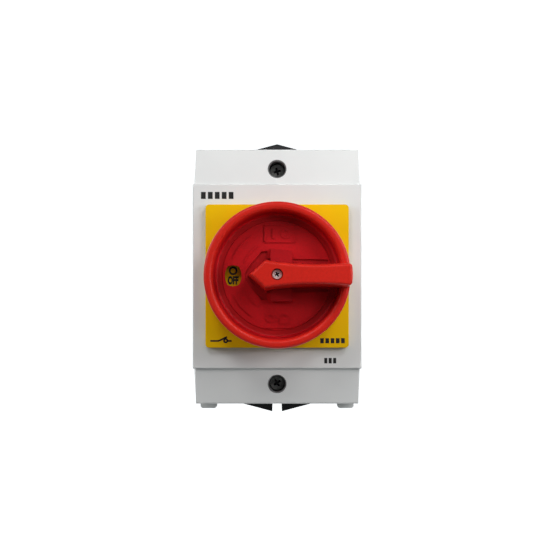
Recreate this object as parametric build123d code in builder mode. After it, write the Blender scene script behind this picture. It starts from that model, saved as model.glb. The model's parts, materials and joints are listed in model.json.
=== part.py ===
from build123d import *
import math
import os

# Rotary isolator switch in a wall enclosure. Millimetres.
# +X right, +Y into the wall, +Z up; the origin is on the wall plane, on the rotary axis.

# Enclosure
WIDTH = 80.0
HEIGHT = 121.2
DEPTH = 95.0
SPLIT = 63.0  # joint between base and cover, measured from the wall
WALL = 2.5
PLATEAU_H = 87.5
STRIP_STEP = 1.2  # strips lie this far behind the plateau
STRIP_FALL = 4.6  # depth behind the plateau at the strips' outer edges
STRIP_W = 77.5
RIM_W = 77.8  # cover width at its top and bottom edges
FLANGE = 3.0  # sealing flange height
BASE_HALF_W = 38.0
BASE_SHOULDER = 57.0
BASE_APEX = 67.1
MOUTH_W = 70.8
MOUTH_H = 108.8
APEX_SLOT_W = 4.8
APEX_SLOT_TOP = 60.6
TAB_X = 33.85
TAB_W = 8.1
TAB_REACH = 64.4
WALL_HOLE_X = 56.0
WALL_HOLE_Z = 88.0
WALL_HOLE_R = 2.4
ENTRY_X = 18.0
ENTRY_R = 10.2
ENTRY_GROOVE = 0.8
ENTRY_INNER = 0.72  # radius of the inner knock-out over the outer one

# Cover screws
SCREW_Z = 51.1
WELL_R = 4.45
SEAT = 79.0  # depth of the screw seat from the wall
SEAL_T = 1.0
SLEEVE_WALL = 0.6
HEAD_R = 3.6
HEAD_H = 2.6
SHANK_R = 2.0
SCREW_BITE = 12.0  # length of shank in the base

# Front plate
PLATE = 67.5
PLATE_BACK = 0.6
PLATE_FRONT = 3.0
PLATE_BORE_R = 8.0
PLATE_BOSS_R = 11.0
PLATE_BOSS_L = 5.0
PLATE_SCREW = 28.0

# Handle
RING_R = 33.8
RING_BACK = 4.0
RING_FRONT = 18.5
RING_WALL = 1.6
RIM_R = 30.0
RIM_FILLET = 1.7
DISH_R = 28.7
FLOOR_R = 25.4  # of the disc that stands up from the dish's floor
FLOOR = 8.0
FLOOR_STEP = 0.35
SHELL = 2.3
HUB_R = 7.95
HUB_END = 85.0
RING_SEAT = 86.9
RING_T = 1.0
RING_OUTER_R = 9.8
GROOVE_R = 7.1
GRIP_FACE = 29.0
GRIP_FILLET = 1.2
POCKET_FLOOR = 7.2  # of the arrow-shaped pocket round the grip's foot
POCKET_BACK = 5.0
POCKET_W = 16.4
POCKET_END_W = 15.0
POCKET_END = 23.8
POCKET_NECK = -4.6
POCKET_HEAD = 11.4
POCKET_TIP = -15.0
POCKET_WALL = 1.4
END_BULGE = 0.5  # of the grip's rounded end
END_CORNER_R = 1.6
WINDOW_X = -20.5
WINDOW_W = 7.8
WINDOW_H = 9.7
WINDOW_CORNER_X = 1.3
WINDOW_CORNER_Z = 0.6
SHANK_HOLE_R = 1.8
HEAD_HOLE_R = 2.6
HEAD_SEAT = 24.6  # ahead of the plateau
GRIP_SCREW_HEAD_H = 2.4
GRIP_SCREW_BITE = 7.0
SQUARE = 6.0
SQUARE_FIT = 6.1
SHAFT_FRONT = 99.5
SHAFT_BACK = 8.5

# Padlock slider, in a tunnel through the grip's foot
SLIDER_L = -3.1
SLIDER_R = 7.0
SLIDER_TOP = 12.6
SLIDER_BOTTOM = -12.2
SLIDER_BACK = 8.3  # ahead of the plateau
SLIDER_T = 3.2
SLIDER_GAP = 0.2
SLIDER_TRAVEL = 3.0

# Contact cells
CELL = 46.0
CELL_T = 11.0
CELL_FLOOR = 1.5
STACK_BACK = 11.0  # rear face of the first cell
REAR_PLATE_T = 4.0
CAM_OPEN_R = 9.5
CAM_LIFT = 2.4
CAM_T = 7.0
CAM_MARGIN = 20.0  # degrees of steady rise beyond each end of the travel
CAM_GAP = 0.3
PLUNGER_END = 16.0
PLUNGER_HALF = 2.8
BRIDGE_T = 1.0
BRIDGE_HALF = 10.0
SPRING_SEAT = 21.5
STRIP_X = 11.7
STRIP_T = 1.0
CONTACT_Z = 8.0
TERMINAL_Z = 17.5
CONTACT_R = 1.5
CHAMBER_R = 11.0
CHAMBER_START = 12.6  # inner end of the contact chamber
PLUNGER_SLOT_END = 17.8
STRIP_INNER_Z = 6.2
STRIP_W_Y = 5.0
TERMINAL_X = 19.0
SHAFT_CLEAR_R = 4.6
TIE_Z = 18.0
TIE_R = 1.5
TIE_HOLE_R = 1.6
FOOT_Z = 27.0
LATCH_T = 12.0
LATCH_ROOF = 2.5
LATCH_BORE_R = 15.2
SLOT_W = 0.8  # of the slotted and crossed terminal screws


def facing(distance):
    """Plane parallel to the wall at this distance in front of it, seen from the front."""
    return Plane(origin=(0, -distance, 0), x_dir=(1, 0, 0), z_dir=(0, -1, 0))


def ahead(distance):
    """Plane parallel to the wall, ahead of the cover's plateau."""
    return facing(DEPTH + distance)


def save(builder, name):
    """Label the finished piece and write it."""
    builder.part.label = name
    export_step(builder.part, f"parts/{name}.step")


def hexagon(half_width, shoulder, apex):
    """Outline with a low gable above and below."""
    return [
        (half_width, -shoulder),
        (half_width, shoulder),
        (0, apex),
        (-half_width, shoulder),
        (-half_width, -shoulder),
        (0, -apex),
    ]


os.makedirs("parts", exist_ok=True)

# ---------------------------------------------------------------- base housing
GABLE_SLOPE = math.degrees(math.atan2(BASE_APEX - BASE_SHOULDER, BASE_HALF_W))
BOSS_R = 4.6
FOOT_R = 4.0
FOOT_TOP = STACK_BACK - REAR_PLATE_T

with BuildPart() as base_housing:
    with BuildSketch(facing(0)):
        Polygon(*hexagon(BASE_HALF_W, BASE_SHOULDER, BASE_APEX), align=None)
    extrude(amount=SPLIT)
    fillet(base_housing.edges().filter_by(Axis.Y), radius=1.6)
    with BuildSketch(facing(WALL)):
        Polygon(*hexagon(BASE_HALF_W, BASE_SHOULDER, BASE_APEX), align=None)
        offset(amount=-WALL, mode=Mode.REPLACE)
        with Locations((0, -BASE_APEX)):
            Rectangle(APEX_SLOT_W + 2 * WALL, 2 * (BASE_APEX - APEX_SLOT_TOP + WALL), mode=Mode.SUBTRACT)
    extrude(amount=SPLIT - WALL - FLANGE, mode=Mode.SUBTRACT)
    with BuildSketch(facing(SPLIT - FLANGE)):
        RectangleRounded(MOUTH_W, MOUTH_H, 3)
    extrude(amount=FLANGE, mode=Mode.SUBTRACT)
    # screw bosses behind the cover screws, and feet for the switch
    with BuildSketch(facing(WALL)):
        with Locations((0, SCREW_Z), (0, -SCREW_Z)):
            Circle(BOSS_R)
    extrude(amount=SPLIT - WALL)
    with BuildSketch(facing(WALL)):
        with Locations((0, FOOT_Z), (0, -FOOT_Z)):
            Circle(FOOT_R)
    extrude(amount=FOOT_TOP - WALL)
    with BuildSketch(facing(SPLIT)):
        with Locations((0, SCREW_Z), (0, -SCREW_Z)):
            Circle(SHANK_R)
    extrude(amount=-(SCREW_BITE + 4), mode=Mode.SUBTRACT)
    with BuildSketch(facing(FOOT_TOP)):
        with Locations((0, FOOT_Z), (0, -FOOT_Z)):
            Circle(1.6)
    extrude(amount=-(FOOT_TOP - 1.2), mode=Mode.SUBTRACT)
    # gasket groove
    with BuildSketch(facing(SPLIT)):
        RectangleRounded(MOUTH_W + 3.6, MOUTH_H + 3.6, 4)
        RectangleRounded(MOUTH_W + 1.2, MOUTH_H + 1.2, 3.2, mode=Mode.SUBTRACT)
    extrude(amount=-1.2, mode=Mode.SUBTRACT)
    # open slot in the lower apex, through the whole depth
    with BuildSketch(facing(0)):
        with Locations((0, -BASE_APEX)):
            Rectangle(APEX_SLOT_W, 2 * (BASE_APEX - APEX_SLOT_TOP))
    extrude(amount=SPLIT, mode=Mode.SUBTRACT)
    # wall screws
    with BuildSketch(facing(0)):
        with GridLocations(WALL_HOLE_X, WALL_HOLE_Z, 2, 2):
            Circle(WALL_HOLE_R)
    extrude(amount=WALL, mode=Mode.SUBTRACT)
    # closed knock-outs on the four sloping faces
    for side_x in (1, -1):
        for side_z in (1, -1):
            rise = BASE_APEX - ENTRY_X * (BASE_APEX - BASE_SHOULDER) / BASE_HALF_W
            slope = math.radians(GABLE_SLOPE)
            entry_plane = Plane(
                origin=(side_x * ENTRY_X, -SPLIT / 2, side_z * rise),
                x_dir=(0, 1, 0),
                z_dir=(side_x * math.sin(slope), 0, side_z * math.cos(slope)),
            )
            with BuildSketch(entry_plane):
                Circle(ENTRY_R)
                Circle(ENTRY_R - ENTRY_GROOVE, mode=Mode.SUBTRACT)
                Circle(ENTRY_R * ENTRY_INNER)
                Circle(ENTRY_R * ENTRY_INNER - ENTRY_GROOVE, mode=Mode.SUBTRACT)
            extrude(amount=-ENTRY_GROOVE, mode=Mode.SUBTRACT)
save(base_housing, "base_housing")

# ------------------------------------------------------------------- gasket
with BuildPart() as cover_gasket:
    with BuildSketch(facing(SPLIT)):
        RectangleRounded(MOUTH_W + 3.4, MOUTH_H + 3.4, 3.9)
        RectangleRounded(MOUTH_W + 1.4, MOUTH_H + 1.4, 3.3, mode=Mode.SUBTRACT)
    extrude(amount=-1.1)
save(cover_gasket, "cover_gasket")

# -------------------------------------------------------------------- cover
STRIP_DEPTH = DEPTH - STRIP_STEP
EDGE_DEPTH = DEPTH - STRIP_FALL
BEVEL_DEPTH = 9.0
POST_R = 6.8
CAVITY_TOP = DEPTH - STRIP_FALL - WALL - 0.4


def end_section(half_width, face_half_width, face_depth, bevel_start):
    """Cross-section of the cover above or below its plateau."""
    return [
        (-half_width, -SPLIT),
        (half_width, -SPLIT),
        (half_width, -bevel_start),
        (face_half_width, -face_depth),
        (-face_half_width, -face_depth),
        (-half_width, -bevel_start),
    ]


with BuildPart() as cover:
    with BuildSketch(facing(SPLIT)):
        Rectangle(WIDTH, PLATEAU_H)
    extrude(amount=STRIP_DEPTH - SPLIT)
    # tapering ends; their sloping strips are bevelled along both sides
    for side in (1, -1):
        with BuildSketch(Plane.XY.offset(side * PLATEAU_H / 2)):
            Polygon(*end_section(WIDTH / 2, STRIP_W / 2, STRIP_DEPTH, STRIP_DEPTH - BEVEL_DEPTH), align=None)
        with BuildSketch(Plane.XY.offset(side * HEIGHT / 2)):
            Polygon(*end_section(RIM_W / 2, STRIP_W / 2, EDGE_DEPTH, EDGE_DEPTH - 4), align=None)
        loft(ruled=True)
    cross_edges = cover.edges().filter_by(Axis.X).group_by(Axis.Z)
    for end in (cross_edges[0], cross_edges[-1]):
        fillet(end.sort_by(Axis.Y)[0], radius=0.8)
    # front plateau
    with BuildSketch(facing(STRIP_DEPTH)):
        RectangleRounded(WIDTH, PLATEAU_H, 0.8)
    extrude(amount=STRIP_STEP)
    fillet(cover.faces().sort_by(Axis.Y)[0].edges(), radius=0.7)
    # inside of the shell
    with BuildSketch(facing(SPLIT)):
        RectangleRounded(MOUTH_W, MOUTH_H, 3)
    extrude(amount=FLANGE, mode=Mode.SUBTRACT)
    with BuildSketch(facing(SPLIT + FLANGE)):
        RectangleRounded(RIM_W - 2 * WALL, HEIGHT - 2 * WALL, 1.5)
    extrude(amount=CAVITY_TOP - SPLIT - FLANGE, mode=Mode.SUBTRACT)
    with BuildSketch(facing(CAVITY_TOP)):
        RectangleRounded(WIDTH - 2 * WALL, PLATEAU_H - 2 * WALL, 1.5)
    extrude(amount=DEPTH - WALL - CAVITY_TOP, mode=Mode.SUBTRACT)
    # screw posts with their wells
    with BuildSketch(facing(SPLIT)):
        with Locations((0, SCREW_Z), (0, -SCREW_Z)):
            Circle(POST_R)
    extrude(amount=CAVITY_TOP - SPLIT + 1)
    with BuildSketch(facing(SEAT)):
        with Locations((0, SCREW_Z), (0, -SCREW_Z)):
            Circle(WELL_R)
    extrude(amount=DEPTH - SEAT, mode=Mode.SUBTRACT)
    with BuildSketch(facing(SPLIT)):
        with Locations((0, SCREW_Z), (0, -SCREW_Z)):
            Circle(SHANK_R + 0.2)
    extrude(amount=SEAT - SPLIT, mode=Mode.SUBTRACT)
    # opening for the plate's boss, and holes for its screws
    with BuildSketch(ahead(0)):
        Circle(PLATE_BOSS_R + 0.1)
        with GridLocations(2 * PLATE_SCREW, 2 * PLATE_SCREW, 2, 2):
            Circle(1.6)
    extrude(amount=-WALL, mode=Mode.SUBTRACT)
    # lugs on the lower edge
    with BuildSketch(facing(SPLIT)):
        with Locations((TAB_X, -TAB_REACH + 3), (-TAB_X, -TAB_REACH + 3)):
            RectangleRounded(TAB_W, 6, 1.4)
    extrude(amount=6)
save(cover, "cover")

# ------------------------------------------------------------- cover screws
with BuildPart() as screw_sleeves:
    with BuildSketch(facing(SEAT)):
        with Locations((0, SCREW_Z), (0, -SCREW_Z)):
            Circle(WELL_R - 0.02)
            Circle(WELL_R - SLEEVE_WALL, mode=Mode.SUBTRACT)
    extrude(amount=DEPTH - STRIP_FALL + 0.9 - SEAT)
save(screw_sleeves, "screw_sleeves")

with BuildPart() as screw_seals:
    with BuildSketch(facing(SEAT)):
        with Locations((0, SCREW_Z), (0, -SCREW_Z)):
            Circle(HEAD_R)
            Circle(SHANK_R + 0.05, mode=Mode.SUBTRACT)
    extrude(amount=SEAL_T)
save(screw_seals, "screw_seals")

with BuildPart() as cover_screws:
    with BuildSketch(facing(SPLIT - SCREW_BITE)):
        with Locations((0, SCREW_Z), (0, -SCREW_Z)):
            Circle(SHANK_R - 0.02)
    extrude(amount=SEAT + SEAL_T - SPLIT + SCREW_BITE)
    with BuildSketch(facing(SEAT + SEAL_T)):
        with Locations((0, SCREW_Z), (0, -SCREW_Z)):
            Circle(HEAD_R)
    extrude(amount=HEAD_H)
    fillet(cover_screws.faces().group_by(Axis.Y)[0].edges(), radius=0.6)
    with BuildSketch(facing(SEAT + SEAL_T + HEAD_H)):
        with Locations((0, SCREW_Z), (0, -SCREW_Z)):
            Rectangle(4.2, 0.9, rotation=12)
            Rectangle(4.2, 0.9, rotation=102)
    extrude(amount=-1.5, mode=Mode.SUBTRACT)
save(cover_screws, "cover_screws")

# -------------------------------------------------------------- front plate
with BuildPart() as plate_gasket:
    with BuildSketch(ahead(0)):
        RectangleRounded(PLATE - 3, PLATE - 3, 2)
        Circle(PLATE_BOSS_R + 0.1, mode=Mode.SUBTRACT)
        with GridLocations(2 * PLATE_SCREW, 2 * PLATE_SCREW, 2, 2):
            Circle(1.6, mode=Mode.SUBTRACT)
    extrude(amount=PLATE_BACK)
save(plate_gasket, "plate_gasket")

with BuildPart() as front_plate:
    with BuildSketch(ahead(PLATE_BACK)):
        RectangleRounded(PLATE, PLATE, 1.8)
    extrude(amount=PLATE_FRONT - PLATE_BACK)
    fillet(front_plate.faces().sort_by(Axis.Y)[0].edges(), radius=0.4)
    with BuildSketch(ahead(PLATE_BACK)):
        Circle(PLATE_BOSS_R)
    extrude(amount=-(PLATE_BOSS_L + PLATE_BACK))
    with BuildSketch(ahead(PLATE_FRONT)):
        Circle(PLATE_BORE_R)
    extrude(amount=-(PLATE_FRONT + PLATE_BOSS_L), mode=Mode.SUBTRACT)
    with BuildSketch(ahead(PLATE_BACK)):
        with GridLocations(2 * PLATE_SCREW, 2 * PLATE_SCREW, 2, 2):
            Circle(1.4)
    extrude(amount=1.5, mode=Mode.SUBTRACT)
save(front_plate, "front_plate")

with BuildPart() as plate_screws:
    with BuildSketch(facing(DEPTH - WALL - 1.8)):
        with GridLocations(2 * PLATE_SCREW, 2 * PLATE_SCREW, 2, 2):
            Circle(2.7)
    extrude(amount=1.8)
    with BuildSketch(facing(DEPTH - WALL)):
        with GridLocations(2 * PLATE_SCREW, 2 * PLATE_SCREW, 2, 2):
            Circle(1.38)
    extrude(amount=WALL + PLATE_BACK + 1.4)
save(plate_screws, "plate_screws")

SEAL_FRONT = DEPTH - PLATE_BOSS_L
with BuildPart() as shaft_seal:
    with BuildSketch(facing(SEAL_FRONT)):
        Circle(PLATE_BOSS_R - 0.5)
        Circle(HUB_R + 0.03, mode=Mode.SUBTRACT)
    extrude(amount=-1.6)
save(shaft_seal, "shaft_seal")

# ------------------------------------------------------------------- handle
def grip_outline(tip, shoulder, neck, end_half, end_x):
    """Pointed grip with hollow flanks; shoulder and neck are half widths."""
    shoulder_x = -5.4
    neck_x = 12.8
    with BuildSketch() as outline:
        with BuildLine():
            Line((tip, 0), (shoulder_x, shoulder))
            ThreePointArc((shoulder_x, shoulder), (neck_x, neck), (end_x, end_half))
            ThreePointArc((end_x, end_half), (end_x + END_BULGE * 0.75, end_half / 2), (end_x + END_BULGE, 0))
            mirror(about=Plane.XZ)
        make_face()
        fillet(outline.vertices().group_by(Axis.X)[-2], radius=END_CORNER_R)
    return outline.sketch


def pocket_outline(wall=0.0):
    """Arrow-headed pocket round the grip's foot, grown outwards by a wall."""
    upper = [
        (POCKET_END + wall, POCKET_END_W / 2 + wall),
        (POCKET_NECK + wall, POCKET_W / 2 + wall),
        (POCKET_NECK + wall, POCKET_HEAD + wall),
        (POCKET_NECK - 2.6 - wall / 2, POCKET_HEAD + wall),
        (POCKET_TIP + 2.4 - wall, 5.2 + wall / 2),
        (POCKET_TIP - wall, 1.2),
    ]
    lower = [(x, -z) for x, z in reversed(upper)]
    return upper + lower


with BuildPart() as handle:
    # dished ring, hollow behind
    with BuildSketch(Plane.XY):
        Polygon(
            (0, -(DEPTH + FLOOR)),
            (FLOOR_R, -(DEPTH + FLOOR)),
            (FLOOR_R + FLOOR_STEP / 2, -(DEPTH + FLOOR - FLOOR_STEP)),
            (DISH_R, -(DEPTH + FLOOR - FLOOR_STEP)),
            (RIM_R, -(DEPTH + RING_FRONT)),
            (RING_R, -(DEPTH + RING_FRONT)),
            (RING_R, -(DEPTH + RING_BACK)),
            (RING_R - RING_WALL, -(DEPTH + RING_BACK)),
            (RING_R - RING_WALL, -(DEPTH + RING_FRONT - 3)),
            (RIM_R + 1.2, -(DEPTH + RING_FRONT - 3)),
            (DISH_R + RING_WALL, -(DEPTH + FLOOR - SHELL)),
            (0, -(DEPTH + FLOOR - SHELL)),
            align=None,
        )
    revolve(axis=Axis.Y)
    rim = handle.edges().filter_by(GeomType.CIRCLE).group_by(Axis.Y)[0].sort_by(SortBy.RADIUS)
    fillet(rim[-1], radius=1.5)
    fillet(rim[0], radius=RIM_FILLET)
    foot = handle.edges().filter_by(GeomType.CIRCLE).filter_by(
        lambda edge: abs(edge.radius - DISH_R) < 0.01
    )
    fillet(foot, radius=1.4)
    # hub
    with BuildSketch(facing(HUB_END)):
        Circle(HUB_R)
    extrude(amount=DEPTH + FLOOR - SHELL - HUB_END)
    # pocket round the grip's foot
    with BuildSketch(ahead(POCKET_BACK)):
        Polygon(*pocket_outline(POCKET_WALL), align=None)
    extrude(amount=FLOOR - SHELL + 0.2 - POCKET_BACK)
    with BuildSketch(ahead(FLOOR)):
        Polygon(*pocket_outline(), align=None)
    extrude(amount=-(FLOOR - POCKET_FLOOR), mode=Mode.SUBTRACT)
    # grip, lofted from foot to face
    with BuildSketch(ahead(POCKET_FLOOR - 0.2)):
        add(grip_outline(-13.8, 7.5, 5.7, 6.7, 33.0))
    with BuildSketch(ahead(GRIP_FACE)):
        add(grip_outline(-12.1, 6.1, 4.3, 5.0, 33.6))
    loft()
    fillet(handle.faces().sort_by(Axis.Y)[0].edges(), radius=GRIP_FILLET)
    # window onto the front plate
    left = WINDOW_X - WINDOW_W / 2
    right = WINDOW_X + WINDOW_W / 2
    corner_z = WINDOW_H / 2 - WINDOW_CORNER_Z
    with BuildSketch(ahead(FLOOR)):
        with BuildLine():
            ThreePointArc(
                (left + WINDOW_CORNER_X, corner_z),
                (WINDOW_X, WINDOW_H / 2),
                (right - WINDOW_CORNER_X, corner_z),
            )
            ThreePointArc(
                (right - WINDOW_CORNER_X, corner_z), (right, 0), (right - WINDOW_CORNER_X, -corner_z)
            )
            ThreePointArc(
                (right - WINDOW_CORNER_X, -corner_z),
                (WINDOW_X, -WINDOW_H / 2),
                (left + WINDOW_CORNER_X, -corner_z),
            )
            ThreePointArc(
                (left + WINDOW_CORNER_X, -corner_z), (left, 0), (left + WINDOW_CORNER_X, corner_z)
            )
        make_face()
    extrude(amount=-SHELL - 1, mode=Mode.SUBTRACT)
    # square socket, screw hole and counterbore
    with BuildSketch(facing(HUB_END)):
        Rectangle(SQUARE_FIT, SQUARE_FIT)
    extrude(amount=SHAFT_FRONT + 0.2 - HUB_END, mode=Mode.SUBTRACT)
    with BuildSketch(ahead(GRIP_FACE)):
        Circle(SHANK_HOLE_R)
    extrude(amount=-(DEPTH + GRIP_FACE - SHAFT_FRONT), mode=Mode.SUBTRACT)
    with BuildSketch(ahead(GRIP_FACE)):
        Circle(HEAD_HOLE_R)
    extrude(amount=-(GRIP_FACE - HEAD_SEAT), mode=Mode.SUBTRACT)
    # tunnel for the padlock slider
    with BuildSketch(ahead(SLIDER_BACK - SLIDER_GAP)):
        with Locations(((SLIDER_L + SLIDER_R) / 2, 0)):
            Rectangle(SLIDER_R - SLIDER_L + 2 * SLIDER_GAP, 2 * POCKET_W)
    extrude(amount=SLIDER_T + 2 * SLIDER_GAP, mode=Mode.SUBTRACT)
    # groove for the retaining ring
    with BuildSketch(facing(RING_SEAT)):
        Circle(HUB_R + 1)
        Circle(GROOVE_R, mode=Mode.SUBTRACT)
    extrude(amount=RING_T + 0.1, mode=Mode.SUBTRACT)
save(handle, "handle")

with BuildPart() as retaining_ring:
    with BuildSketch(facing(RING_SEAT + 0.05)):
        Circle(RING_OUTER_R)
        Circle(GROOVE_R + 0.03, mode=Mode.SUBTRACT)
        with Locations((0, RING_OUTER_R)):
            Rectangle(5, 2 * RING_OUTER_R, mode=Mode.SUBTRACT)
    extrude(amount=RING_T)
save(retaining_ring, "retaining_ring")

with BuildPart() as handle_screw:
    with BuildSketch(ahead(HEAD_SEAT)):
        Circle(HEAD_HOLE_R - 0.25)
    extrude(amount=GRIP_SCREW_HEAD_H)
    fillet(handle_screw.faces().sort_by(Axis.Y)[0].edges(), radius=0.7)
    with BuildSketch(ahead(HEAD_SEAT)):
        Circle(SHANK_HOLE_R - 0.15)
    extrude(amount=-(DEPTH + HEAD_SEAT - SHAFT_FRONT + GRIP_SCREW_BITE))
    with BuildSketch(ahead(HEAD_SEAT + GRIP_SCREW_HEAD_H)):
        Rectangle(3.4, 0.7, rotation=20)
        Rectangle(3.4, 0.7, rotation=110)
    extrude(amount=-1.2, mode=Mode.SUBTRACT)
save(handle_screw, "handle_screw")

with BuildPart() as shaft:
    with BuildSketch(facing(SHAFT_BACK)):
        Rectangle(SQUARE, SQUARE)
    extrude(amount=SHAFT_FRONT - SHAFT_BACK)
    chamfer(shaft.edges().filter_by(Axis.Y), length=0.4)
    with BuildSketch(facing(SHAFT_FRONT)):
        Circle(SHANK_HOLE_R - 0.15)
    extrude(amount=-8, mode=Mode.SUBTRACT)
save(shaft, "shaft")

# ----------------------------------------------------------- padlock slider
SLIDER_MID = (SLIDER_L + SLIDER_R) / 2
HUB_CLEAR = 2.4  # half width kept open round the handle screw
SPRING_X = 5.4
SLIDER_SPRING_L = 7.6

with BuildPart() as padlock_slider:
    with BuildSketch(ahead(SLIDER_BACK)):
        with BuildLine():
            Polyline(
                (SLIDER_L, SLIDER_BOTTOM),
                (SLIDER_R, SLIDER_BOTTOM),
                (SLIDER_R, SLIDER_TOP - 1.2),
                (SLIDER_L, SLIDER_TOP),
                (SLIDER_L, HUB_CLEAR + SLIDER_TRAVEL),
                (HUB_CLEAR, HUB_CLEAR + SLIDER_TRAVEL),
                (HUB_CLEAR, -HUB_CLEAR - 0.4),
                (SLIDER_L, -HUB_CLEAR - 0.4),
                close=True,
            )
        make_face()
    extrude(amount=SLIDER_T)
    chamfer(padlock_slider.faces().group_by(Axis.Z)[0].edges().filter_by(Axis.X), length=0.5)
    # pocket for the return spring
    with BuildSketch(ahead(SLIDER_BACK)):
        with Locations((SPRING_X, -1.5)):
            Rectangle(2.2, 9)
    extrude(amount=SLIDER_T - 0.8, mode=Mode.SUBTRACT)
save(padlock_slider, "padlock_slider")


def coil(radius, wire, turns, length, plane):
    """Compression spring whose axis is the plane's normal, starting at its origin."""
    with BuildPart() as spring:
        with BuildLine() as path:
            Helix(
                pitch=length / turns,
                height=length,
                radius=radius,
                center=plane.origin,
                direction=plane.z_dir,
            )
        with BuildSketch(Plane(origin=path.line @ 0, z_dir=path.line % 0)):
            Circle(wire / 2)
        sweep(is_frenet=True)
    return spring


# -------------------------------------------------------------- contact cells
def cam_outline(steps_per_degree=0.1):
    """Two equal lobes; the radius falls steadily over the quarter turn from open to closed."""
    rise_end = 180.0 - CAM_MARGIN
    fall_end = 90.0 + CAM_MARGIN
    low = CAM_OPEN_R - CAM_LIFT * fall_end / 90.0
    high = CAM_OPEN_R + CAM_LIFT * CAM_MARGIN / 90.0
    points = []
    count = int(360 * steps_per_degree)
    for index in range(count):
        degrees = 360.0 * index / count
        turn = (degrees + CAM_MARGIN) % 180.0 - CAM_MARGIN
        if turn <= fall_end:
            radius = CAM_OPEN_R - CAM_LIFT * turn / 90.0
        else:
            share = (turn - fall_end) / (rise_end - fall_end)
            radius = low + (high - low) * (1 - math.cos(math.pi * share)) / 2
        angle = math.radians(degrees)
        points.append((radius * math.cos(angle), radius * math.sin(angle)))
    return points


def cell_back(stage):
    return STACK_BACK + stage * CELL_T


def cell_middle(stage):
    return cell_back(stage) + CELL_FLOOR + (CELL_T - CELL_FLOOR) / 2


for stage in (0, 1):
    tag = stage + 1
    middle = cell_middle(stage)
    with BuildPart() as cell_housing:
        with BuildSketch(facing(cell_back(stage))):
            RectangleRounded(CELL, CELL, 1.2)
        extrude(amount=CELL_T)
        with BuildSketch(facing(cell_back(stage) + CELL_FLOOR)):
            Circle(CHAMBER_R)
            Rectangle(2 * PLUNGER_SLOT_END, 2 * (PLUNGER_HALF + 0.2))
            for side in (1, -1):
                with Locations((side * (CHAMBER_START + SPRING_SEAT) / 2, 0)):
                    Rectangle(SPRING_SEAT - CHAMBER_START, 2 * (BRIDGE_HALF + 0.5))
                with Locations((side * (STRIP_X + STRIP_T / 2), 0)):
                    Rectangle(STRIP_T + 0.2, CELL)
                for end in (1, -1):
                    with Locations((side * TERMINAL_X, end * TERMINAL_Z)):
                        Rectangle(12.4, 7.6)
                    with Locations((side * 10.9, end * TERMINAL_Z)):
                        Rectangle(2.4, 3.6)
        extrude(amount=CELL_T - CELL_FLOOR, mode=Mode.SUBTRACT)
        with BuildSketch(facing(cell_back(stage))):
            Circle(SHAFT_CLEAR_R)
            with Locations((0, TIE_Z), (0, -TIE_Z)):
                Circle(TIE_HOLE_R)
        extrude(amount=CELL_T, mode=Mode.SUBTRACT)
    save(cell_housing, f"cell_housing_{tag}")

    with BuildPart() as cam:
        with BuildSketch(facing(middle - CAM_T / 2)):
            with BuildLine():
                Spline(*cam_outline(), periodic=True)
            make_face()
            Rectangle(SQUARE_FIT, SQUARE_FIT, mode=Mode.SUBTRACT)
        extrude(amount=CAM_T)
    save(cam, f"cam_{tag}")

    for side, hand in ((1, "right"), (-1, "left")):
        with BuildPart() as plunger:
            with BuildSketch(facing(middle - STRIP_W_Y / 2)):
                with Locations((side * (CAM_OPEN_R + CAM_GAP + PLUNGER_END) / 2, 0)):
                    Rectangle(PLUNGER_END - CAM_OPEN_R - CAM_GAP, 2 * PLUNGER_HALF)
            extrude(amount=STRIP_W_Y)
            tip = plunger.edges().filter_by(Axis.Y).group_by(Axis.X)[0 if side > 0 else -1]
            fillet(tip, radius=0.8)
        save(plunger, f"plunger_{tag}_{hand}")

        with BuildPart() as bridge:
            with BuildSketch(facing(middle - 2.2)):
                with Locations((side * (PLUNGER_END + BRIDGE_T / 2), 0)):
                    Rectangle(BRIDGE_T, 2 * BRIDGE_HALF)
            extrude(amount=4.4)
            with BuildSketch(Plane.YZ.offset(side * PLUNGER_END)):
                with Locations((-middle, CONTACT_Z), (-middle, -CONTACT_Z)):
                    Circle(CONTACT_R)
            extrude(amount=-side * 0.5)
        save(bridge, f"bridge_{tag}_{hand}")

        spring_start = PLUNGER_END + BRIDGE_T + 0.3
        spring_plane = Plane(
            origin=(side * spring_start, -middle, 0), x_dir=(0, 1, 0), z_dir=(side, 0, 0)
        )
        contact_spring = coil(1.9, 0.45, 4, SPRING_SEAT - 0.3 - spring_start, spring_plane)
        save(contact_spring, f"contact_spring_{tag}_{hand}")

        for end, level in ((1, "upper"), (-1, "lower")):
            with BuildPart() as fixed_contact:
                strip_end = CELL / 2 - 0.5
                with BuildSketch(facing(middle - STRIP_W_Y / 2)):
                    with Locations((side * (STRIP_X + STRIP_T / 2), end * (STRIP_INNER_Z + strip_end) / 2)):
                        Rectangle(STRIP_T, strip_end - STRIP_INNER_Z)
                extrude(amount=STRIP_W_Y)
                with BuildSketch(Plane.YZ.offset(side * (STRIP_X + STRIP_T))):
                    with Locations((-middle, end * CONTACT_Z)):
                        Circle(CONTACT_R)
                extrude(amount=side * 0.35)
                with BuildSketch(Plane.YZ.offset(side * STRIP_X)):
                    with Locations((-middle, end * TERMINAL_Z)):
                        Circle(CONTACT_R + 0.05)
                extrude(amount=side * STRIP_T, mode=Mode.SUBTRACT)
            save(fixed_contact, f"fixed_contact_{tag}_{hand}_{level}")

TERMINALS = [
    (side, stage, end) for side in (1, -1) for stage in (0, 1) for end in (1, -1)
]
CLAMP_X = STRIP_X + STRIP_T + 0.1
CLAMP_T = 1.1
CLAMP_W = 6.6
TERMINAL_HEAD_R = 3.0
TERMINAL_HEAD_H = 2.6
TERMINAL_CROSS = 4.4

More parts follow.
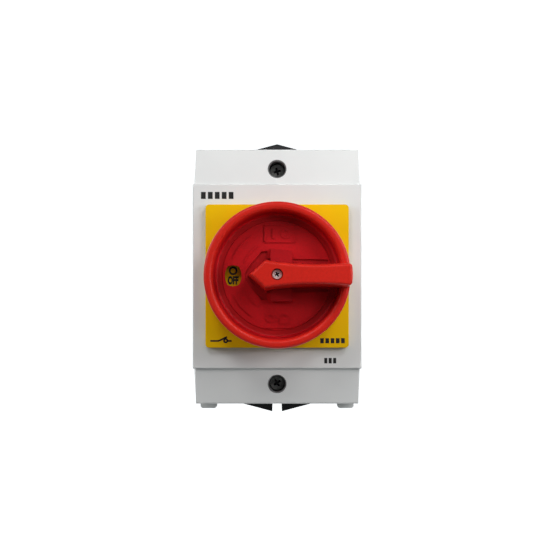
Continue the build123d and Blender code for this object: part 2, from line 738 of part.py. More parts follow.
with BuildPart() as terminal_clamps:
    for side, stage, end in TERMINALS:
        with BuildSketch(Plane.YZ.offset(side * CLAMP_X)):
            with Locations((-cell_middle(stage), end * TERMINAL_Z)):
                Rectangle(CLAMP_W, CLAMP_W)
                Circle(CONTACT_R + 0.05, mode=Mode.SUBTRACT)
        extrude(amount=side * CLAMP_T)
save(terminal_clamps, "terminal_clamps")

with BuildPart() as terminal_screws:
    for side, stage, end in TERMINALS:
        centre = (-cell_middle(stage), end * TERMINAL_Z)
        with BuildSketch(Plane.YZ.offset(side * (STRIP_X - 1.4))):
            with Locations(centre):
                Circle(1.5)
        extrude(amount=side * (CLAMP_X + CLAMP_T - STRIP_X + 1.4))
        with BuildSketch(Plane.YZ.offset(side * (CLAMP_X + CLAMP_T))):
            with Locations(centre):
                Circle(TERMINAL_HEAD_R)
        extrude(amount=side * TERMINAL_HEAD_H)
        with BuildSketch(Plane.YZ.offset(side * (CLAMP_X + CLAMP_T + TERMINAL_HEAD_H))):
            with Locations(centre):
                Rectangle(TERMINAL_CROSS, SLOT_W)
                Rectangle(SLOT_W, TERMINAL_CROSS)
        extrude(amount=-side * 1.4, mode=Mode.SUBTRACT)
save(terminal_screws, "terminal_screws")

# ---------------------------------------------- rear plate, latch housing, ties
with BuildPart() as rear_plate:
    with BuildSketch(facing(STACK_BACK - REAR_PLATE_T)):
        RectangleRounded(CELL, CELL, 1.2)
        RectangleRounded(12, 2 * FOOT_Z + 9, 3)
    extrude(amount=REAR_PLATE_T)
    with BuildSketch(facing(STACK_BACK - REAR_PLATE_T)):
        with Locations((0, FOOT_Z), (0, -FOOT_Z)):
            Circle(1.8)
        with Locations((0, TIE_Z), (0, -TIE_Z)):
            Circle(TIE_HOLE_R)
        Circle(SHAFT_CLEAR_R - 0.2)
    extrude(amount=REAR_PLATE_T, mode=Mode.SUBTRACT)
    with BuildSketch(facing(STACK_BACK - REAR_PLATE_T)):
        with Locations((0, TIE_Z), (0, -TIE_Z)):
            RegularPolygon(3.1, 6)
    extrude(amount=2.6, mode=Mode.SUBTRACT)
save(rear_plate, "rear_plate")

LATCH_BACK = STACK_BACK + 2 * CELL_T
with BuildPart() as latch_housing:
    with BuildSketch(facing(LATCH_BACK)):
        RectangleRounded(CELL, CELL, 1.2)
    extrude(amount=LATCH_T)
    chamfer(latch_housing.faces().sort_by(Axis.Y)[0].edges(), length=0.8)
    with BuildSketch(facing(LATCH_BACK)):
        Circle(LATCH_BORE_R)
    extrude(amount=LATCH_T - LATCH_ROOF, mode=Mode.SUBTRACT)
    with BuildSketch(facing(LATCH_BACK)):
        Circle(SHAFT_CLEAR_R)
        with Locations((0, TIE_Z), (0, -TIE_Z)):
            Circle(TIE_HOLE_R)
    extrude(amount=LATCH_T, mode=Mode.SUBTRACT)
save(latch_housing, "latch_housing")

with BuildPart() as latch_wheel:
    with BuildSketch(facing(LATCH_BACK + 2.5)):
        Circle(10)
        with PolarLocations(10.6, 4, start_angle=0):
            Circle(2.4, mode=Mode.SUBTRACT)
        Rectangle(SQUARE_FIT, SQUARE_FIT, mode=Mode.SUBTRACT)
    extrude(amount=5)
save(latch_wheel, "latch_wheel")

with BuildPart() as tie_bolts:
    with BuildSketch(facing(STACK_BACK - REAR_PLATE_T + 0.2)):
        with Locations((0, TIE_Z), (0, -TIE_Z)):
            Circle(TIE_R)
    extrude(amount=REAR_PLATE_T - 0.2 + 2 * CELL_T + LATCH_T)
    with BuildSketch(facing(LATCH_BACK + LATCH_T)):
        with Locations((0, TIE_Z), (0, -TIE_Z)):
            Circle(2.8)
    extrude(amount=2)
    with BuildSketch(facing(LATCH_BACK + LATCH_T + 2)):
        with Locations((0, TIE_Z), (0, -TIE_Z)):
            Rectangle(4.2, SLOT_W)
    extrude(amount=-1, mode=Mode.SUBTRACT)
save(tie_bolts, "tie_bolts")

with BuildPart() as tie_nuts:
    with BuildSketch(facing(STACK_BACK - REAR_PLATE_T + 0.2)):
        with Locations((0, TIE_Z), (0, -TIE_Z)):
            RegularPolygon(3.0, 6)
            Circle(TIE_R + 0.02, mode=Mode.SUBTRACT)
    extrude(amount=2.3)
save(tie_nuts, "tie_nuts")

with BuildPart() as foot_screws:
    with BuildSketch(facing(2.2)):
        with Locations((0, FOOT_Z), (0, -FOOT_Z)):
            Circle(1.58)
    extrude(amount=STACK_BACK - 2.2)
    with BuildSketch(facing(STACK_BACK)):
        with Locations((0, FOOT_Z), (0, -FOOT_Z)):
            Circle(2.9)
    extrude(amount=2)
    with BuildSketch(facing(STACK_BACK + 2)):
        with Locations((0, FOOT_Z), (0, -FOOT_Z)):
            Rectangle(4, SLOT_W)
            Rectangle(SLOT_W, 4)
    extrude(amount=-1.1, mode=Mode.SUBTRACT)
save(foot_screws, "foot_screws")

# ------------------------------------------------- earth and neutral terminals
LINK_X = 13.0
LINK_Z = -40.0
LINK_PITCH = 8.0
LINK_BASE_T = 5.0
LINK_BLOCK = 8.0  # height and depth of the brass block
for side, role in ((1, "neutral"), (-1, "earth")):
    with BuildPart() as holder:
        with BuildSketch(facing(WALL)):
            with Locations((side * LINK_X, LINK_Z)):
                RectangleRounded(20, 12, 1)
        extrude(amount=LINK_BASE_T)
    save(holder, f"{role}_terminal_base")
    with BuildPart() as block:
        with BuildSketch(facing(WALL + LINK_BASE_T)):
            with Locations((side * LINK_X, LINK_Z)):
                Rectangle(2 * LINK_PITCH, LINK_BLOCK)
        extrude(amount=LINK_BLOCK)
        bore_y = -WALL - LINK_BASE_T - 3.5
        with BuildSketch(Plane.XY.offset(LINK_Z - LINK_BLOCK / 2)):
            with Locations((side * LINK_X, bore_y)):
                with GridLocations(LINK_PITCH, 0, 2, 1):
                    Circle(2)
        extrude(amount=LINK_BLOCK, mode=Mode.SUBTRACT)
    save(block, f"{role}_terminal")

with BuildPart() as link_screws:
    for side in (1, -1):
        with BuildSketch(facing(WALL + LINK_BASE_T + LINK_BLOCK)):
            with Locations((side * LINK_X, LINK_Z)):
                with GridLocations(LINK_PITCH, 0, 2, 1):
                    Circle(2.2)
        extrude(amount=2)
        with BuildSketch(facing(WALL + LINK_BASE_T + LINK_BLOCK + 2)):
            with Locations((side * LINK_X, LINK_Z)):
                with GridLocations(LINK_PITCH, 0, 2, 1):
                    Rectangle(3.4, 0.7)
        extrude(amount=-1, mode=Mode.SUBTRACT)
save(link_screws, "link_screws")

spring_axis = Plane(
    origin=(SPRING_X, -(DEPTH + SLIDER_BACK + 1.1), -5.4), x_dir=(0, 1, 0), z_dir=(0, 0, 1)
)
slider_spring = coil(0.75, 0.3, 6, SLIDER_SPRING_L, spring_axis)
save(slider_spring, "slider_spring")
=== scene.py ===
import json
import math

import bmesh
import bpy
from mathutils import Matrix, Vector


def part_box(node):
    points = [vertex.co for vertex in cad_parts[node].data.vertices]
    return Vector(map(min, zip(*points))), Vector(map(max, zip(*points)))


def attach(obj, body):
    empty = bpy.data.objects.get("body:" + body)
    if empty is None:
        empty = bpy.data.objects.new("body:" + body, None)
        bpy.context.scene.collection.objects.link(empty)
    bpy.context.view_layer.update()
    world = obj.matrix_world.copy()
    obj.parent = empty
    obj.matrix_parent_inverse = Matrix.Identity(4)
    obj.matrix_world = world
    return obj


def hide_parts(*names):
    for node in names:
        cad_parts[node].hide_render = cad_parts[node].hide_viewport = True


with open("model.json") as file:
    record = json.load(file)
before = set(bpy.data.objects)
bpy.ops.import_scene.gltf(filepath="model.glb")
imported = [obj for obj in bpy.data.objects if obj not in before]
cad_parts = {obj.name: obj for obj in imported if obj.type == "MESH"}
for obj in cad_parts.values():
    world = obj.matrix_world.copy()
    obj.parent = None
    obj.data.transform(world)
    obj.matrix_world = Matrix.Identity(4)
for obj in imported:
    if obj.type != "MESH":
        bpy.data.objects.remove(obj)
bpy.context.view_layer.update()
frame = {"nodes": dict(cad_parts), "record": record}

MM = 0.001

# Faces that the added pieces lie on. The front is towards -Y.
PLATE_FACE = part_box("front_plate")[0].y
COVER_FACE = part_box("cover")[0].y
FLOOR_FACE = COVER_FACE - 8.0 * MM  # the floor of the handle's dish

PRINT_T = 0.04 * MM
RELIEF_T = 0.45 * MM
SUNK = 0.02 * MM  # how far an added piece reaches behind its face

# Scales and depths of the grain in the materials.
DRIFT_SCALE = 38.0
GLOSS_SCALE = 160.0
SPECKLE_SCALE = 950.0
HANDLE_GRAIN = 2200.0
TINT_SCALE = 700.0
PLATING_SCALE = 1200.0
TOOLING_SCALE = 900.0
TOOLING_STRENGTH = 0.25
TOOLING_DEPTH = 0.03 * MM
GRAIN_DEPTH = 0.02 * MM
GRAIN = (2.0, 0.5)  # a noise's detail and roughness
NOISE_LOW, NOISE_HIGH = 0.3, 0.7  # where most of a noise's values lie
PLASTIC_SPREAD = (-0.05, 0.07)  # of the roughness about its value
METAL_SPREAD = (-0.08, 0.1)


# ------------------------------------------------------------------ materials
def new_material(name):
    """A material with one Principled shader."""
    material = bpy.data.materials.new(name)
    material.use_nodes = True
    tree = material.node_tree
    tree.nodes.clear()
    output = tree.nodes.new("ShaderNodeOutputMaterial")
    shader = tree.nodes.new("ShaderNodeBsdfPrincipled")
    tree.links.new(shader.outputs["BSDF"], output.inputs["Surface"])
    return material, tree, shader


def noise(tree, scale, detail, rough=0.55):
    """Noise in object space, so that the grain keeps its size on every piece."""
    coords = tree.nodes.new("ShaderNodeTexCoord")
    texture = tree.nodes.new("ShaderNodeTexNoise")
    texture.inputs["Scale"].default_value = scale
    texture.inputs["Detail"].default_value = detail
    texture.inputs["Roughness"].default_value = rough
    tree.links.new(coords.outputs["Object"], texture.inputs["Vector"])
    return texture.outputs["Fac"]


def mapped(tree, value, low=0.0, high=1.0):
    """A noise spread over the range from low to high."""
    ramp = tree.nodes.new("ShaderNodeMapRange")
    ramp.inputs["From Min"].default_value = NOISE_LOW
    ramp.inputs["From Max"].default_value = NOISE_HIGH
    ramp.inputs["To Min"].default_value = low
    ramp.inputs["To Max"].default_value = high
    tree.links.new(value, ramp.inputs["Value"])
    return ramp.outputs["Result"]


def colour_mix(tree, how="MIX"):
    """A node that blends two colours."""
    mix = tree.nodes.new("ShaderNodeMix")
    mix.data_type = "RGBA"
    mix.blend_type = how
    return mix


def mixed(tree, factor, first, second):
    """From the first colour to the second as the factor goes from 0 to 1."""
    mix = colour_mix(tree)
    mix.inputs["A"].default_value = (*first, 1.0)
    mix.inputs["B"].default_value = (*second, 1.0)
    tree.links.new(factor, mix.inputs["Factor"])
    return mix.outputs["Result"]


def by_depth(tree, back, front, low, high):
    """A value that goes from low to high between two depths, in object space."""
    coords = tree.nodes.new("ShaderNodeTexCoord")
    axes = tree.nodes.new("ShaderNodeSeparateXYZ")
    ramp = tree.nodes.new("ShaderNodeMapRange")
    ramp.inputs["From Min"].default_value = back
    ramp.inputs["From Max"].default_value = front
    ramp.inputs["To Min"].default_value = low
    ramp.inputs["To Max"].default_value = high
    tree.links.new(coords.outputs["Object"], axes.inputs["Vector"])
    tree.links.new(axes.outputs["Y"], ramp.inputs["Value"])
    return ramp.outputs["Result"]


def by_radius(tree, inside, outside):
    """0 inside one radius about the handle's axis, 1 outside another, in object space."""
    coords = tree.nodes.new("ShaderNodeTexCoord")
    flat = tree.nodes.new("ShaderNodeVectorMath")
    flat.operation = "MULTIPLY"
    flat.inputs[1].default_value = (1.0, 0.0, 1.0)
    length = tree.nodes.new("ShaderNodeVectorMath")
    length.operation = "LENGTH"
    ramp = tree.nodes.new("ShaderNodeMapRange")
    ramp.inputs["From Min"].default_value = inside
    ramp.inputs["From Max"].default_value = outside
    tree.links.new(coords.outputs["Object"], flat.inputs[0])
    tree.links.new(flat.outputs["Vector"], length.inputs[0])
    tree.links.new(length.outputs["Value"], ramp.inputs["Value"])
    return ramp.outputs["Result"]


def bumped(tree, shader, height, strength, distance):
    """Fine relief in the shading only."""
    bump = tree.nodes.new("ShaderNodeBump")
    bump.inputs["Strength"].default_value = strength
    bump.inputs["Distance"].default_value = distance
    tree.links.new(height, bump.inputs["Height"])
    tree.links.new(bump.outputs["Normal"], shader.inputs["Normal"])


def uneven_gloss(tree, shader, scale, roughness, spread):
    low, high = spread
    gloss = mapped(tree, noise(tree, scale, 5.0), roughness + low, roughness + high)
    tree.links.new(gloss, shader.inputs["Roughness"])


def tooled(tree, shader):
    """The fine grain of worked metal."""
    grain = noise(tree, TOOLING_SCALE, 5.0)
    bumped(tree, shader, grain, TOOLING_STRENGTH, TOOLING_DEPTH)


def plastic(name, colour, shade, roughness, grain, strength, specular=0.3):
    """Moulded plastic: slow colour drift, uneven gloss and a fine spark-eroded grain."""
    material, tree, shader = new_material(name)
    shader.inputs["Specular IOR Level"].default_value = specular
    drift = mapped(tree, noise(tree, DRIFT_SCALE, 3.0))
    tree.links.new(mixed(tree, drift, colour, shade), shader.inputs["Base Color"])
    uneven_gloss(tree, shader, GLOSS_SCALE, roughness, PLASTIC_SPREAD)
    bumped(tree, shader, noise(tree, grain, *GRAIN), strength, GRAIN_DEPTH)
    return material


# Heights ahead of the cover in mm, and the handle's colour there, with painted shade and sheen:
# darkest in the corners and on the walls of the dish as painted shade, lighter and more orange on
# the rim and the grip as painted sheen.
TONES_FROM, TONES_TO = 6.0, 18.0
HANDLE_PAINTED_SHADE_AND_SHEEN = (
    (7.2, (0.47, 0.001, 0.005)),
    (7.6, (0.44, 0.001, 0.004)),
    (7.75, (0.45, 0.001, 0.004)),
    (7.95, (0.54, 0.001, 0.006)),
    (8.7, (0.52, 0.001, 0.006)),
    (9.4, (0.38, 0.001, 0.005)),
    (12.0, (0.40, 0.001, 0.005)),
    (15.5, (0.60, 0.010, 0.007)),
    (18.0, (0.64, 0.016, 0.008)),
)
OUTER_WALL = (30.6 * MM, 31.6 * MM)  # over these radii the rim's lighter tone, with its painted sheen, takes over from the dish's painted shade
DISH_ROUGHNESS, RIM_ROUGHNESS = 0.55, 0.40
HANDLE_SPECULAR = 0.25
HANDLE_GRAIN_STRENGTH = 0.22
SPECKLE = (0.86, 0.86, 0.86)  # what the darkest specks multiply the tone by
WHITE = (1.0, 1.0, 1.0)


def handle_plastic(name):
    """Red plastic, duller in the dish; its colour paints shade into the dish and sheen onto the
    rim and the grip.
    """
    material, tree, shader = new_material(name)
    back, front = COVER_FACE - TONES_FROM * MM, COVER_FACE - TONES_TO * MM
    # A ramp by height paints shade into the dish and sheen onto the rim and the grip.
    ramp = tree.nodes.new("ShaderNodeValToRGB")
    tones = ramp.color_ramp.elements
    for index, (height, colour) in enumerate(HANDLE_PAINTED_SHADE_AND_SHEEN):
        share = (height - TONES_FROM) / (TONES_TO - TONES_FROM)
        tone = tones[index] if index < 2 else tones.new(share)  # a new ramp has two
        tone.position = share
        tone.color = (*colour, 1.0)
    greater = tree.nodes.new("ShaderNodeMath")
    greater.operation = "MAXIMUM"
    tree.links.new(by_depth(tree, back, front, 0.0, 1.0), greater.inputs[0])
    tree.links.new(by_radius(tree, *OUTER_WALL), greater.inputs[1])
    tree.links.new(greater.outputs["Value"], ramp.inputs["Fac"])
    specks = mapped(tree, noise(tree, SPECKLE_SCALE, 4.0))
    blend = colour_mix(tree, "MULTIPLY")
    blend.inputs["Factor"].default_value = 1.0
    tree.links.new(ramp.outputs["Color"], blend.inputs["A"])
    tree.links.new(mixed(tree, specks, WHITE, SPECKLE), blend.inputs["B"])
    tree.links.new(blend.outputs["Result"], shader.inputs["Base Color"])
    shader.inputs["Specular IOR Level"].default_value = HANDLE_SPECULAR
    gloss = by_depth(tree, back, front, DISH_ROUGHNESS, RIM_ROUGHNESS)
    tree.links.new(gloss, shader.inputs["Roughness"])
    grain = noise(tree, HANDLE_GRAIN, *GRAIN)
    bumped(tree, shader, grain, HANDLE_GRAIN_STRENGTH, GRAIN_DEPTH)
    return material


def metal(name, colour, shade, roughness, metallic=1.0):
    """Plated metal with a fine tooled grain."""
    material, tree, shader = new_material(name)
    shader.inputs["Metallic"].default_value = metallic
    tint = mapped(tree, noise(tree, TINT_SCALE, 6.0))
    tree.links.new(mixed(tree, tint, colour, shade), shader.inputs["Base Color"])
    uneven_gloss(tree, shader, PLATING_SCALE, roughness, METAL_SPREAD)
    tooled(tree, shader)
    return material


# Depths where the painted shade in a screw's cross recess begins and is full, as shares of the
# head's radius.
RECESS_SHADE_BEGINS, RECESS_SHADE_FULL = 0.12, 0.20
RECESS_PAINTED_SHADE = (0.02, 0.02, 0.02, 1.0)


def screw_finish(name, node, radius, colour, shade, roughness, metallic):
    """Plated screw whose cross recess is darkened with painted shade."""
    material, tree, shader = new_material(name)
    shader.inputs["Metallic"].default_value = metallic
    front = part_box(node)[0].y
    tint = mapped(tree, noise(tree, TINT_SCALE, 6.0))
    # Painted shade darkens the cross recess from where it begins to its full depth.
    blend = colour_mix(tree)
    full, begins = front + RECESS_SHADE_FULL * radius, front + RECESS_SHADE_BEGINS * radius
    tree.links.new(by_depth(tree, full, begins, 0.0, 1.0), blend.inputs["Factor"])
    blend.inputs["A"].default_value = RECESS_PAINTED_SHADE
    tree.links.new(mixed(tree, tint, colour, shade), blend.inputs["B"])
    tree.links.new(blend.outputs["Result"], shader.inputs["Base Color"])
    shader.inputs["Roughness"].default_value = roughness
    tooled(tree, shader)
    return material


# plastic: colour, shade, roughness, grain's scale and strength, specular level if unusual.
# metal: colour, shade, roughness, and how metallic if it isn't bare.
MATERIALS = {
    "grey_plastic": plastic(
        "cover grey", (0.735, 0.745, 0.735), (0.70, 0.712, 0.705), 0.48, 2600.0, 0.35
    ),
    "black_plastic": plastic(
        "base black", (0.014, 0.014, 0.015), (0.020, 0.020, 0.021), 0.46, 2600.0, 0.4
    ),
    "yellow_plastic": plastic(
        "plate yellow", (0.85, 0.525, 0.0), (0.82, 0.50, 0.0), 0.42, 2400.0, 0.25, 0.15
    ),
    "red_plastic": handle_plastic("handle red"),
    "switch_plastic": plastic(
        "cell black", (0.022, 0.022, 0.024), (0.03, 0.03, 0.032), 0.5, 2000.0, 0.3
    ),
    "nylon": plastic("natural nylon", (0.76, 0.74, 0.68), (0.70, 0.68, 0.62), 0.4, 1500.0, 0.2),
    "rubber": plastic("seal rubber", (0.02, 0.02, 0.02), (0.03, 0.03, 0.03), 0.7, 1800.0, 0.3),
    # Blackened steel painted mid grey: painted light standing in for light that does not reach
    # screws in their deep wells.
    "black_screw": metal("blackened steel", (0.60, 0.60, 0.58), (0.46, 0.46, 0.44), 0.44, 0.2),
    "zinc_steel": metal("zinc plate", (0.88, 0.89, 0.88), (0.72, 0.73, 0.73), 0.40, 0.3),
    "spring_steel": metal("spring steel", (0.50, 0.50, 0.51), (0.42, 0.42, 0.43), 0.3),
    "brass": metal("brass", (0.72, 0.52, 0.22), (0.62, 0.44, 0.18), 0.28),
}
INK = plastic("printing ink", (0.012, 0.012, 0.012), (0.02, 0.02, 0.02), 0.5, 1800.0, 0.2)
SLEEVE = plastic("sleeve grey", (0.13, 0.13, 0.13), (0.15, 0.15, 0.15), 0.42, 2200.0, 0.3)

SLOT_OF = {entry["node"]: entry["material_slot"] for entry in frame["record"]["subparts"]}
OWN_FINISH = {"screw_sleeves": SLEEVE}  # lighter than its slot's usual finish
for node_name, node in frame["nodes"].items():
    node.data.materials.clear()
    node.data.materials.append(OWN_FINISH.get(node_name, MATERIALS[SLOT_OF[node_name]]))


# --------------------------------------------------------------- flat pieces
def place(piece, body, material):
    """Put an added piece in the scene, on its body and with its material."""
    bpy.context.scene.collection.objects.link(piece)
    piece.data.materials.append(material)
    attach(piece, body)
    return piece


def finished(name, mesh):
    """An object made from a bmesh, which is freed."""
    data = bpy.data.meshes.new(name)
    mesh.to_mesh(data)
    mesh.free()
    return bpy.data.objects.new(name, data)


def solid_strip(name, left, right, face, thickness, closed=False):
    """A thin piece between two rows of points (x, z), standing on a face."""
    mesh = bmesh.new()
    rows = []
    for row in (left, right):
        for depth in (face + SUNK, face - thickness):
            rows.append([mesh.verts.new((x, depth, z)) for x, z in row])
    left_back, left_front, right_back, right_front = rows
    count = len(left)
    last = count if closed else count - 1
    for i in range(last):
        j = (i + 1) % count
        mesh.faces.new((left_front[i], left_front[j], right_front[j], right_front[i]))
        mesh.faces.new((left_back[j], left_back[i], right_back[i], right_back[j]))
        mesh.faces.new((left_back[i], left_back[j], left_front[j], left_front[i]))
        mesh.faces.new((right_front[i], right_front[j], right_back[j], right_back[i]))
    if not closed:
        mesh.faces.new((left_back[0], left_front[0], right_front[0], right_back[0]))
        mesh.faces.new((left_front[-1], left_back[-1], right_back[-1], right_front[-1]))
    bmesh.ops.recalc_face_normals(mesh, faces=mesh.faces)
    return finished(name, mesh)


def arc_points(centre, radius, start, end, steps):
    """Points (x, z) along an arc, with its start and end in degrees."""
    points = []
    for i in range(steps):
        angle = math.radians(start + (end - start) * i / (steps - 1))
        across, up = radius * math.cos(angle), radius * math.sin(angle)
        points.append((centre[0] + across, centre[1] + up))
    return points


ARC_STEP = 5  # degrees
FEWEST_STEPS = 12


def band(name, centre, radius, width, face, thickness, start=0.0, end=360.0):
    """A ring, or part of one."""
    whole = end - start >= 360.0
    steps = max(FEWEST_STEPS, int((end - start) / ARC_STEP))
    stop = end - (end - start) / steps if whole else end
    inner = arc_points(centre, radius - width / 2, start, stop, steps)
    outer = arc_points(centre, radius + width / 2, start, stop, steps)
    return solid_strip(name, inner, outer, face, thickness, closed=whole)


def bar(name, start, end, width, face, thickness):
    """A straight stroke from start to end."""
    a, b = Vector(start), Vector(end)
    side = (b - a).orthogonal().normalized() * width / 2
    left = [tuple(a - side), tuple(b - side)]
    right = [tuple(a + side), tuple(b + side)]
    return solid_strip(name, left, right, face, thickness)


# Blender's own font, made bold and narrow.
FONT_SIZE = 1.37  # per height of a capital
BOLDNESS = 0.075
NARROWNESS = 0.57


def word(name, text, centre, height, face, thickness):
    """Plain lettering, turned to face the front."""
    curve = bpy.data.curves.new(name, "FONT")
    curve.body = text
    curve.align_x = "CENTER"
    curve.align_y = "CENTER"
    curve.size = height * FONT_SIZE
    curve.offset = height * BOLDNESS
    curve.extrude = thickness
    curve.resolution_u = 4
    holder = bpy.data.objects.new(name + "_curve", curve)
    bpy.context.scene.collection.objects.link(holder)
    evaluated = holder.evaluated_get(bpy.context.evaluated_depsgraph_get())
    data = bpy.data.meshes.new_from_object(evaluated)
    bpy.data.objects.remove(holder)
    for vertex in data.vertices:
        x, y, z = vertex.co
        vertex.co = (centre[0] + x * NARROWNESS, face - z, centre[1] + y)
    return bpy.data.objects.new(name, data)


def joined(name, pieces):
    """One mesh from several strokes."""
    mesh = bmesh.new()
    for piece in pieces:
        mesh.from_mesh(piece.data)
        bpy.data.objects.remove(piece)
    return finished(name, mesh)


# ------------------------------------------------------------------ printing
MARK_OUT = 20.7 * MM  # from the handle's axis to the marks under its window
MARK_W = 0.85 * MM


def off_mark():
    """Circle above OFF, which the window shows at rest."""
    x = -MARK_OUT
    ring = band("ring", (x, 2.5 * MM), 1.6 * MM, MARK_W, PLATE_FACE, PRINT_T)
    text = word("text", "OFF", (x, -2.2 * MM), 3.6 * MM, PLATE_FACE, PRINT_T)
    return joined("off_mark", [ring, text])


def on_mark():
    """Line beside ON, which the window shows after a quarter turn."""
    x, z, half = -2.9 * MM, MARK_OUT, 1.6 * MM
    stroke = bar("stroke", (x, z - half), (x, z + half), MARK_W, PLATE_FACE, PRINT_T)
    text = word("text", "ON", (1.1 * MM, z), 3.2 * MM, PLATE_FACE, PRINT_T)
    return joined("on_mark", [stroke, text])


def isolator_symbol():
    """Line, open blade and load-break ring."""
    z = -30.5 * MM
    lines = (
        ("lead", (-31.4 * MM, z), (-27.6 * MM, z)),
        ("blade", (-27.8 * MM, z - 0.1 * MM), (-23.6 * MM, z + 1.9 * MM)),
        ("tail", (-23.3 * MM, z), (-21.4 * MM, z)),
    )
    width = 0.78 * MM
    strokes = [bar(*line, width, PLATE_FACE, PRINT_T) for line in lines]
    ring = band("ring", (-24.2 * MM, z + 0.1 * MM), 0.8 * MM, width, PLATE_FACE, PRINT_T)
    return joined("isolator_symbol", [*strokes, ring])


BLOCK_SHARE = 0.68  # of the pitch; the rest is a gap


def blocks(name, left, right, bottom, top, count, face):
    """A row of equal plain blocks, in the place of lettering."""
    pitch = (right - left) / count
    middle = (bottom + top) / 2
    strokes = []
    for i in range(count):
        start = left + i * pitch
        ends = (start, middle), (start + BLOCK_SHARE * pitch, middle)
        strokes.append(bar("block", *ends, top - bottom, face, PRINT_T))
    return joined(name, strokes)


for mark in (
    off_mark(),
    on_mark(),
    isolator_symbol(),
    blocks("cover_blocks", -36.0 * MM, -19.6 * MM, 36.6 * MM, 39.9 * MM, 5, COVER_FACE),
    blocks("plate_blocks", 20.3 * MM, 32.6 * MM, -31.6 * MM, -29.2 * MM, 5, PLATE_FACE),
    blocks("rating_blocks", 22.3 * MM, 28.6 * MM, -41.2 * MM, -38.6 * MM, 3, COVER_FACE),
):
    place(mark, "enclosure", INK)


# ------------------------------------------------------- relief in the dish
def dish_relief():
    """Raised generic marks: a framed line and circle, a circle and padlock above a rule, arcs."""
    frame_w = 0.5 * MM
    left, right, bottom, top = -5.8 * MM, 8.2 * MM, 15.7 * MM, 23.6 * MM
    half = frame_w / 2
    lines = (  # start, end, width
        ((left - half, bottom), (right + half, bottom), frame_w),
        ((left - half, top), (right + half, top), frame_w),
        ((left, bottom), (left, top), frame_w),
        ((right, bottom), (right, top), frame_w),
        ((-1.8 * MM, 17.4 * MM), (-1.8 * MM, 21.9 * MM), 0.9 * MM),
        ((1.2 * MM, -21.0 * MM), (5.2 * MM, -21.0 * MM), 2.8 * MM),  # the padlock's body
        ((-6.3 * MM, -24.2 * MM), (6.8 * MM, -24.2 * MM), 0.7 * MM),
    )
    rings = [  # centre, radius, width, start, end
        ((3.9 * MM, 19.7 * MM), 1.8 * MM, 0.8 * MM, 0.0, 360.0),
        ((-3.3 * MM, -19.7 * MM), 1.7 * MM, 0.8 * MM, 0.0, 360.0),
        ((3.2 * MM, -19.2 * MM), 1.3 * MM, 0.6 * MM, 0.0, 180.0),  # its shackle
    ]
    for start, end in ((122.0, 158.0), (202.0, 238.0)):
        rings.append(((0, 0), 16.6 * MM, 0.6 * MM, start, end))
        rings.append(((0, 0), 22.2 * MM, 0.4 * MM, start, end))
    strokes = [bar("stroke", *line, FLOOR_FACE, RELIEF_T) for line in lines]
    for centre, radius, width, start, end in rings:
        strokes.append(band("ring", centre, radius, width, FLOOR_FACE, RELIEF_T, start, end))
    return joined("dish_relief", strokes)


place(dish_relief(), "handle", MATERIALS["red_plastic"])


# -------------------------------------------------------------- screw heads
# Shares of a head's radius.
CROWN = 0.10  # fall of the dome from the middle to the edge
EDGE_FALL = 0.12  # further fall of the rounded edge
EDGE_SHARE = 0.14  # width of the rounded edge
CROSS_DEPTH = 0.42
CROSS_HALF_WIDTH = 0.155
CROSS_REACH = 0.62
# Shares of the cross's half width and reach over which its walls and floor slope.
WALL_SLOPE, FLOOR_SLOPE = 0.3, 0.5


def recess(x, z, turn, half_width, reach, deep):
    """Depth of a tapering cross recess at a point of the head."""
    value = 0.0
    for angle in (turn, turn + 90.0):
        c, s = math.cos(math.radians(angle)), math.sin(math.radians(angle))
        along, across = abs(x * c + z * s), abs(z * c - x * s)
        wall = min(1.0, max(0.0, (half_width - across) / (WALL_SLOPE * half_width)))
        slope = min(1.0, max(0.0, (reach - along) / (FLOOR_SLOPE * reach)))
        value = max(value, deep * wall * slope)
    return value


def add_screw(mesh, centre_z, front, radius, head, shank, back, turn):
    """Domed head with a cross recess, on a plain shank."""
    sides, steps = 144, 30  # round the head, and from its middle to its edge
    rows = []
    for step in range(1, steps + 1):
        out = step / steps
        past_edge = max(0.0, (out - 1.0 + EDGE_SHARE) / EDGE_SHARE)
        fall = radius * (CROWN * out**2 + EDGE_FALL * past_edge**2)
        rows.append((radius * out, fall, True))
    rows += [(radius, head, False), (shank, head, False), (shank, back - front, False)]
    half_width, reach, deep = CROSS_HALF_WIDTH * radius, CROSS_REACH * radius, CROSS_DEPTH * radius
    tip = mesh.verts.new((0.0, front + deep, centre_z))
    rings = []
    for r, fall, on_face in rows:
        ring = []
        for i in range(sides):
            angle = 2 * math.pi * i / sides
            x, z = r * math.cos(angle), r * math.sin(angle)
            sink = recess(x, z, turn, half_width, reach, deep) if on_face else 0.0
            ring.append(mesh.verts.new((x, front + max(fall, sink), centre_z + z)))
        rings.append(ring)
    end = mesh.verts.new((0.0, back, centre_z))
    for i in range(sides):
        j = (i + 1) % sides
        mesh.faces.new((tip, rings[0][j], rings[0][i]))
        mesh.faces.new((end, rings[-1][i], rings[-1][j]))
        for inner, outer in zip(rings, rings[1:]):
            mesh.faces.new((inner[i], inner[j], outer[j], outer[i]))


def screws(name, node, head, shank, turns):
    """Detailed screws in place of a CAD node of one screw, or of two one above the other."""
    low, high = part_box(node)
    radius = (high.x - low.x) / 2
    middles = [0.0] if len(turns) == 1 else [high.z - radius, low.z + radius]
    mesh = bmesh.new()
    for middle, turn in zip(middles, turns):
        add_screw(mesh, middle, low.y, radius, head, shank, high.y, turn)
    bmesh.ops.recalc_face_normals(mesh, faces=mesh.faces)
    piece = finished(name, mesh)
    piece.data.shade_smooth()
    return piece


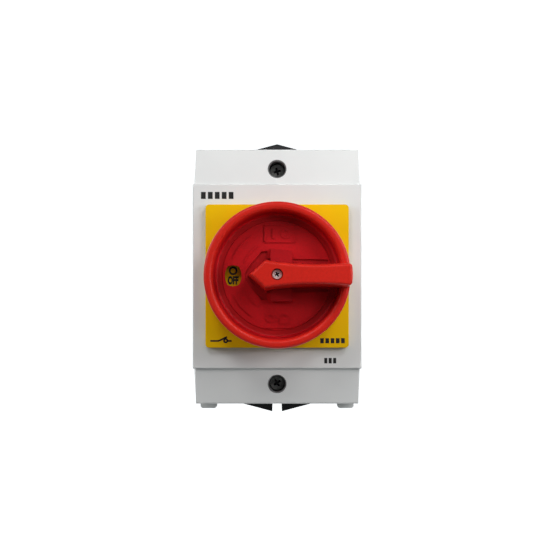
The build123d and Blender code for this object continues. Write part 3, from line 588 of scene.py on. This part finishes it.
# The cover screws' head is painted far lighter than blackened steel: painted light standing in for
# light that does not reach into their deep wells.
BLACK_SCREW = screw_finish(
    "black head", "cover_screws", 3.4 * MM, (0.92, 0.92, 0.88), (0.66, 0.66, 0.64), 0.42, 0.1
)
ZINC_SCREW = screw_finish(
    "zinc head", "handle_screw", 2.2 * MM, (0.90, 0.98, 0.95), (0.78, 0.85, 0.83), 0.35, 0.1
)
cover_pair = screws("cover_screw_pair", "cover_screws", 2.6 * MM, 1.98 * MM, (14.0, 34.0))
place(cover_pair, "enclosure", BLACK_SCREW)
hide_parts("cover_screws")
grip_screw = screws("grip_screw", "handle_screw", 2.4 * MM, 1.65 * MM, (28.0,))
place(grip_screw, "handle", ZINC_SCREW)
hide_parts("handle_screw")


# --------------------------------------------------------------- stage, light
COOL_WHITE = (0.96, 0.99, 1.0, 1.0)
MATT = 0.9


def stage_material(name, colour, glow):
    """Matt finish that shines by itself as strongly as glow says."""
    material, tree, shader = new_material(name)
    shader.inputs["Base Color"].default_value = (*colour, 1.0)
    shader.inputs["Roughness"].default_value = MATT
    shader.inputs["Emission Color"].default_value = COOL_WHITE
    shader.inputs["Emission Strength"].default_value = glow
    return material


def stage_plane(name, corners, material):
    """A sheet of the studio, which is no part of the object."""
    data = bpy.data.meshes.new(name)
    data.from_pydata(corners, [], [(0, 1, 2, 3)])
    data.materials.append(material)
    plane = bpy.data.objects.new(name, data)
    bpy.context.scene.collection.objects.link(plane)
    return plane


FLOOR_Z = -1.1
BACK_Y = 2.6
SPAN = 4.0
corner_left, corner_right = (-SPAN, BACK_Y, FLOOR_Z), (SPAN, BACK_Y, FLOOR_Z)
stage_plane(
    "floor",
    [(-SPAN, -SPAN, FLOOR_Z), (SPAN, -SPAN, FLOOR_Z), corner_right, corner_left],
    stage_material("pale floor", (0.82, 0.84, 0.85), 0.0),
)
stage_plane(
    "backdrop",
    [corner_left, corner_right, (SPAN, BACK_Y, SPAN), (-SPAN, BACK_Y, SPAN)],
    stage_material("white backdrop", (0.9, 0.9, 0.9), 1.0),
)

LIGHT_AIM = Vector((0, -0.1, 0))
LIGHTS = (  # name, position and size in metres, power in watts
    ("key_left", (-0.15, -0.40, 0.35), (0.12, 0.12), 0.62),
    ("key_right", (0.20, -0.35, 0.30), (0.12, 0.12), 0.57),
    ("side_left", (-0.6, -0.35, 0.2), (0.25, 0.25), 1.8),
    ("close_right", (0.3, -0.30, 0.08), (0.15, 0.15), 0.61),
    ("high_front", (0.1, -0.8, 0.45), (0.3, 0.3), 0.28),
    ("front_right", (0.35, -0.8, 0.25), (0.12, 0.12), 0.36),
    ("rear_left", (-0.55, 0.5, 0.35), (0.5, 0.5), 1.6),
    ("rear_right", (0.55, 0.5, 0.35), (0.5, 0.5), 1.6),
    ("rear_low", (0.0, 0.3, -0.6), (0.5, 0.4), 1.5),
)
for name, position, size, power in LIGHTS:
    light = bpy.data.lights.new(name, "AREA")
    light.shape = "RECTANGLE"
    light.size, light.size_y = size
    light.energy = power
    holder = bpy.data.objects.new(name, light)
    holder.location = position
    holder.rotation_mode = "QUATERNION"
    holder.rotation_quaternion = (LIGHT_AIM - Vector(position)).to_track_quat("-Z", "Y")
    holder.visible_camera = False
    bpy.context.scene.collection.objects.link(holder)

world = bpy.data.worlds.new("studio")
world.use_nodes = True
background = world.node_tree.nodes["Background"]
background.inputs["Color"].default_value = (0.96, 0.98, 1.0, 1.0)
background.inputs["Strength"].default_value = 0.06
bpy.context.scene.world = world
bpy.context.scene.view_settings.view_transform = "Standard"

# -------------------------------------------------------------------- camera
CAMERA_AHEAD = 0.560  # metres from the cover's face

camera_data = bpy.data.cameras.new("camera")
camera_data.sensor_width = 36.0
camera_data.lens = 77.5
camera_data.shift_x = -0.0027
camera_data.shift_y = 0.0727
camera = bpy.data.objects.new("camera", camera_data)
camera.location = (-0.0003, COVER_FACE - CAMERA_AHEAD, -0.0183)
camera.rotation_euler = (math.radians(90), 0, 0)
bpy.context.scene.collection.objects.link(camera)
bpy.context.scene.camera = camera
